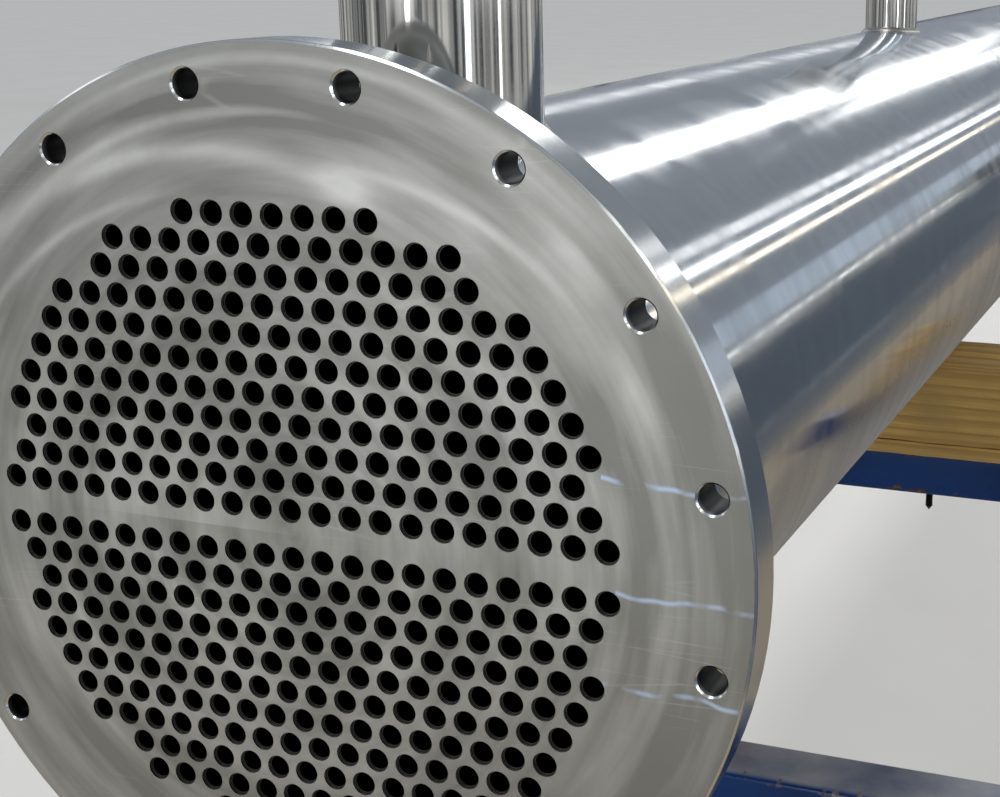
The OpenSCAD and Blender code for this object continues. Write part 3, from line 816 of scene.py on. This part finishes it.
# %% Welds round the nozzles
NOZZLE_LEG, NOZZLE_PITCH, NOZZLE_RIPPLE, STEPS_PER_SCALE = 0.007, 0.0042, 0.0008, 3
for place, (nozzle_y, nozzle_radius) in NOZZLES.items():
    shape = bmesh.new()
    inner = nozzle_radius + BEAD_GAP
    scales = round(WHOLE_TURN * inner / NOZZLE_PITCH)
    outline = [(inner + out, nozzle_y, along) for out, along in bead_section(NOZZLE_LEG - BEAD_ROOM)]
    corner = (inner, nozzle_y, 0)
    spin_outline(shape, outline + [corner], (0, nozzle_y, 0), (0, 0, 1), STEPS_PER_SCALE * scales)
    for v in shape.verts:
        away = Vector((v.co.x, v.co.y - nozzle_y, 0))
        angle = math.atan2(away.y, away.x)
        bump = ripple(away, inner, NOZZLE_LEG, angle, WHOLE_TURN * inner / scales, NOZZLE_RIPPLE)
        v.co += (away.normalized() + Vector((0, 0, 1))) * bump * 0.7
        v.co.z += AXIS_HEIGHT + math.sqrt(shell_seat ** 2 - v.co.x ** 2)
    finish_piece(shape, place + "_nozzle_weld_bead", weld_metal, [place + "_nozzle_weld"],
                 BEAD_SHARP_ABOVE)

# %% [markdown]
# ## Timber
#
# Site timber is sawn roughly and has been used before: its long edges are rounded and nicked, and no
# face is quite flat. A cube is stretched to size, its edges are bevelled, it is cut into slices along
# its length so that it has points to move, and a smooth noise presses those points inwards. The
# number called board is different for each baulk, so that no two show the same rings.

# %% A sawn baulk
DENTS_PER_METRE = 21


def baulk(shape, low, high, board, slices, edge=0.0035, dent=0.0011):
    """One block of timber between two corners, with worn edges."""
    low, high = Vector(low), Vector(high)
    half = (high - low) / 2
    part = bmesh.new()
    layer = part.verts.layers.float.new("board")
    bmesh.ops.create_cube(part, size=1.0)
    bmesh.ops.scale(part, verts=part.verts, vec=high - low)
    round_off(part, part.edges[:], edge, 3)
    slice_along(part, 0, [half.x * (2 * i / slices - 1) for i in range(1, slices)])
    for v in part.verts:
        v[layer] = board
        near_edge = (abs(v.co.y) / half.y) ** 8 * (abs(v.co.z) / half.z) ** 8
        worn = noise.noise(v.co * DENTS_PER_METRE + Vector((board, board, 0))) * 0.5 + 0.5
        press = dent * (0.35 * worn + 2.6 * near_edge * max(worn - 0.35, 0))
        v.co.y -= math.copysign(press, v.co.y)
        v.co.z -= math.copysign(press, v.co.z)
    place_in(shape, part, Matrix.Translation((low + high) / 2))


# %% Timber under the shell
OUTER_WIDTH, BAULK_WIDTH, BAULK_GAP = 0.080, 0.112, 0.002
for node_name in ("outer_timber_blocks", "middle_packing_board", "middle_timbers"):
    low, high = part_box(node_name)
    shape = bmesh.new()
    if node_name == "outer_timber_blocks":
        baulk(shape, low, (high.x, low.y + OUTER_WIDTH, high.z), 1.0, 12)
        mirrored(shape)
    elif node_name == "middle_packing_board":
        baulk(shape, low, high, 2.3, 30, edge=0.0025)
    else:
        baulk(shape, low, (high.x, low.y + BAULK_WIDTH, high.z), 3.1, 30)
        baulk(shape, (low.x, low.y + BAULK_WIDTH + BAULK_GAP, low.z), high, 4.7, 30)
    finish_piece(shape, node_name + "_sawn", timber_wood, [node_name])

# %% Chocks: wedges hollowed to the shell
CHOCK_INNER, CHOCK_OUTER, CHOCK_STEPS, CHOCK_EDGE = 0.055, 0.142, 10, 0.0015
TIMBER_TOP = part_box("middle_timbers")[1].z


def chock(shape, y_low, y_high, board):
    """One wedge on the right-hand side, under the shell."""
    part = bmesh.new()
    layer = part.verts.layers.float.new("board")
    outline = [(CHOCK_OUTER, TIMBER_TOP), (CHOCK_INNER, TIMBER_TOP)]
    for i in range(CHOCK_STEPS + 1):
        x = CHOCK_INNER + (CHOCK_OUTER - CHOCK_INNER) * i / CHOCK_STEPS
        outline.append((x, AXIS_HEIGHT - math.sqrt(shell_seat ** 2 - x ** 2)))
    side = part.faces.new([part.verts.new((x, y_low, z)) for x, z in outline])
    extruded = bmesh.ops.extrude_face_region(part, geom=[side], use_keep_orig=True)
    push_out(part, extruded, (0, y_high - y_low, 0))
    sharp = [e for e in part.edges if len(e.link_faces) == 2 and e.calc_face_angle(0) > 0.6]
    round_off(part, sharp, CHOCK_EDGE, 2)
    for v in part.verts:
        v[layer] = board
    place_in(shape, part)


for node_name, width, board in (("outer_chocks", OUTER_WIDTH, 6.0), ("middle_chocks", BAULK_WIDTH, 7.5)):
    low_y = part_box(node_name)[0].y
    shape = bmesh.new()
    chock(shape, low_y, low_y + width, board)
    mirrored(shape, "X")
    if node_name == "outer_chocks":
        mirrored(shape)
    finish_piece(shape, node_name + "_cut", timber_wood, [node_name])

# %% [markdown]
# ## Trestles
#
# They are welded from square tube. Real square tube is rolled from sheet, so its corners are round,
# with a radius of about one and a half times the wall. A square face gets its corners rounded, an
# inset makes the wall, and an extrusion gives the length. Where a post meets a beam there is a weld
# bead under the paint.

# %% A square tube
TUBE_WALL = 0.005
TUBE_CORNER = 1.5 * TUBE_WALL
WORN_END = 0.012


def split_long(part, longest, cuts):
    """Adds points to the edges that are longer than a length."""
    edges = [e for e in part.edges if e.calc_length() > longest]
    bmesh.ops.subdivide_edges(part, edges=edges, cuts=cuts)


def rounded_square(part, size, corner, height):
    """A flat rounded square on X and Y, with extra points on its straight sides."""
    flat = bmesh.ops.create_grid(part, x_segments=1, y_segments=1, size=size / 2,
                                 matrix=Matrix.Translation((0, 0, height)))
    round_off(part, flat["verts"], corner, 4, "VERTICES")
    split_long(part, size / 2, 2)


def square_tube(shape, size, length, place):
    """A hollow square tube from the origin upwards, then moved by the matrix place."""
    part = bmesh.new()
    layer = part.verts.layers.float.new("wear")
    rounded_square(part, size, TUBE_CORNER, 0)
    for v in part.verts:
        v[layer] = 0.0 if min(abs(v.co.x), abs(v.co.y)) < 0.8 * (size / 2 - TUBE_CORNER) else 1.0
    middle = part.faces[:]
    bmesh.ops.inset_region(part, faces=middle, thickness=TUBE_WALL, use_even_offset=True, use_boundary=True)
    bmesh.ops.delete(part, geom=middle, context="FACES_ONLY")
    extruded = bmesh.ops.extrude_face_region(part, geom=part.faces[:], use_keep_orig=True)
    push_out(part, extruded, (0, 0, length))
    slice_along(part, 2, (WORN_END, length / 3, 2 * length / 3, length - WORN_END))
    for v in part.verts:
        if v.co.z < 0.001 or v.co.z > length - 0.001:
            v[layer] = 1.0
    place_in(shape, part, place)


# %% The weld bead round a post's end
NEAR = 1e-5
BUMPS_PER_METRE = 260


def collar(shape, size, leg, place):
    """A bead round a square tube: three rounded squares, bridged and made uneven."""
    belly = 0.62 * leg
    whole = bmesh.new()
    for grow, height in ((leg, 0.0), (belly, belly), (0.0, leg)):
        part = bmesh.new()
        rounded_square(part, size + 2 * grow, TUBE_CORNER + grow, height)
        bmesh.ops.delete(part, geom=part.faces[:], context="FACES_ONLY")
        split_long(part, size / 6, 5)
        place_in(whole, part)
    for levels in ((0.0, belly), (belly, leg)):
        rims = [e for e in whole.edges if abs(e.verts[0].co.z - e.verts[1].co.z) < NEAR
                and min(abs(e.verts[0].co.z - level) for level in levels) < NEAR]
        bmesh.ops.bridge_loops(whole, edges=rims)
    layer = whole.verts.layers.float.new("wear")
    for v in whole.verts:
        v[layer] = 0.6
        if abs(v.co.z - belly) < NEAR:
            uneven = 0.25 * leg * noise.noise(v.co * BUMPS_PER_METRE)
            v.co += Vector((v.co.x, v.co.y, 0)).normalized() * uneven
    place_in(shape, whole, place)


# %% The outer trestle, which has a twin at the rear, and the middle one
BEAM_SIZE, POST_SIZE, FOOT_SIZE, BEAD_LEG, FOOT_LENGTH = 0.080, 0.060, 0.060, 0.005, 0.420


def turned_at(x, y, z, angle, axis):
    """A turn round an axis, and then a move to a place."""
    return Matrix.Translation((x, y, z)) @ Matrix.Rotation(angle, 4, axis)


for kind, beam_name, y in (("outer", "outer_cross_beams", OUTER_TRESTLE_Y),
                           ("middle", "middle_cross_beam", MIDDLE_TRESTLE_Y)):
    low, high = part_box(beam_name)
    post_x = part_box(kind + "_posts")[1].x - POST_SIZE / 2
    beam, feet, posts = bmesh.new(), bmesh.new(), bmesh.new()
    square_tube(beam, BEAM_SIZE, high.x - low.x, turned_at(low.x, y, (low.z + high.z) / 2, QUARTER, "Y"))
    for x in (-post_x, post_x):
        foot_start = turned_at(x, y + FOOT_LENGTH / 2, FOOT_SIZE / 2, QUARTER, "X")
        square_tube(feet, FOOT_SIZE, FOOT_LENGTH, foot_start)
        square_tube(posts, POST_SIZE, low.z - FOOT_SIZE, Matrix.Translation((x, y, FOOT_SIZE)))
        collar(posts, POST_SIZE, BEAD_LEG, turned_at(x, y, low.z, math.pi, "X"))
    for shape, node_name in ((beam, beam_name), (feet, kind + "_feet"), (posts, kind + "_posts")):
        if kind == "outer":
            mirrored(shape)
        finish_piece(shape, node_name + "_painted", blue_paint, [node_name])

# %% [markdown]
# ## Screws
#
# Long black coach screws hold the timber to the middle beam. Their pointed ends come out under it,
# and one of them is plain to see in the photograph. A screw's outline, with its thread as a
# row of teeth, is spun round its own axis. The teeth are rings and not a true helix, which can't be
# told apart at this size and needs far fewer faces.

# %% The two ends of a screw
SCREW_RADIUS, SCREW_OUT, SCREW_PITCH, SCREW_POINT = 0.0065, 0.040, 0.0028, 0.008
SCREW_STEPS = 14


def screw_end(shape, x, y, top, length):
    """The pointed, threaded end of a screw, from top downwards."""
    teeth = int((length - SCREW_POINT) / SCREW_PITCH)
    outline = [(0.0, top), (SCREW_RADIUS, top)]
    for i in range(teeth):
        outline.append((SCREW_RADIUS, top - (i + 0.35) * SCREW_PITCH))
        outline.append((SCREW_RADIUS * 0.8, top - (i + 0.8) * SCREW_PITCH))
    outline += [(SCREW_RADIUS, top - teeth * SCREW_PITCH), (0.0, top - length)]
    corners = [(x + r, y, z) for r, z in outline]
    spin_outline(shape, corners, (x, y, 0), (0, 0, 1), SCREW_STEPS, closed=False)


def hex_head(shape, x, y, under, across=0.019, height=0.0085, washer=0.015, thickness=0.002):
    """A hexagon head on a round washer, standing on the height under."""
    for radius, low, thick, sides in ((washer, under, thickness, 24),
                                      (across / math.sqrt(3), under + thickness, height, 6)):
        part = bmesh.new()
        bmesh.ops.create_cone(part, cap_ends=True, segments=sides, radius1=radius, radius2=radius,
                              depth=thick)
        rim = [e for e in part.edges if all(v.co.z > 0 for v in e.verts)]
        round_off(part, rim, 0.0006, 2)
        place_in(shape, part, Matrix.Translation((x, y, low + thick / 2)))


# %% Screws through the middle timbers
SCREW_X = (-0.380, -0.121, 0.121, 0.380)
HEADS_BEYOND = 0.3  # nearer the middle, the chocks hide the heads
HEAD_SUNK = 0.0004
shape = bmesh.new()
beam_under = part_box("middle_cross_beam")[0].z
for x in SCREW_X:
    screw_end(shape, x, MIDDLE_TRESTLE_Y, beam_under + TUBE_WALL, SCREW_OUT + TUBE_WALL)
    if abs(x) > HEADS_BEYOND:
        hex_head(shape, x, MIDDLE_TRESTLE_Y, TIMBER_TOP - HEAD_SUNK)
finish_piece(shape, "timber_screws", black_steel)

# %% Put the finishes on the CAD nodes
finish_of = {"front_tube_sheet": sheet_metal, "rear_tube_sheet": sheet_metal, "shell": shell_metal,
             "upper_pass_tubes": tube_metal, "lower_pass_tubes": tube_metal}
for place in NOZZLES:
    finish_of[place + "_nozzle_flange"] = flange_metal[place]
    finish_of[place + "_nozzle_neck"] = pipe_metal[place]
for name, node in nodes.items():
    material = finish_of.get(name, inner_plate)
    for slot in node.material_slots:
        slot.material = material
print("finishes on", len(nodes), "nodes")
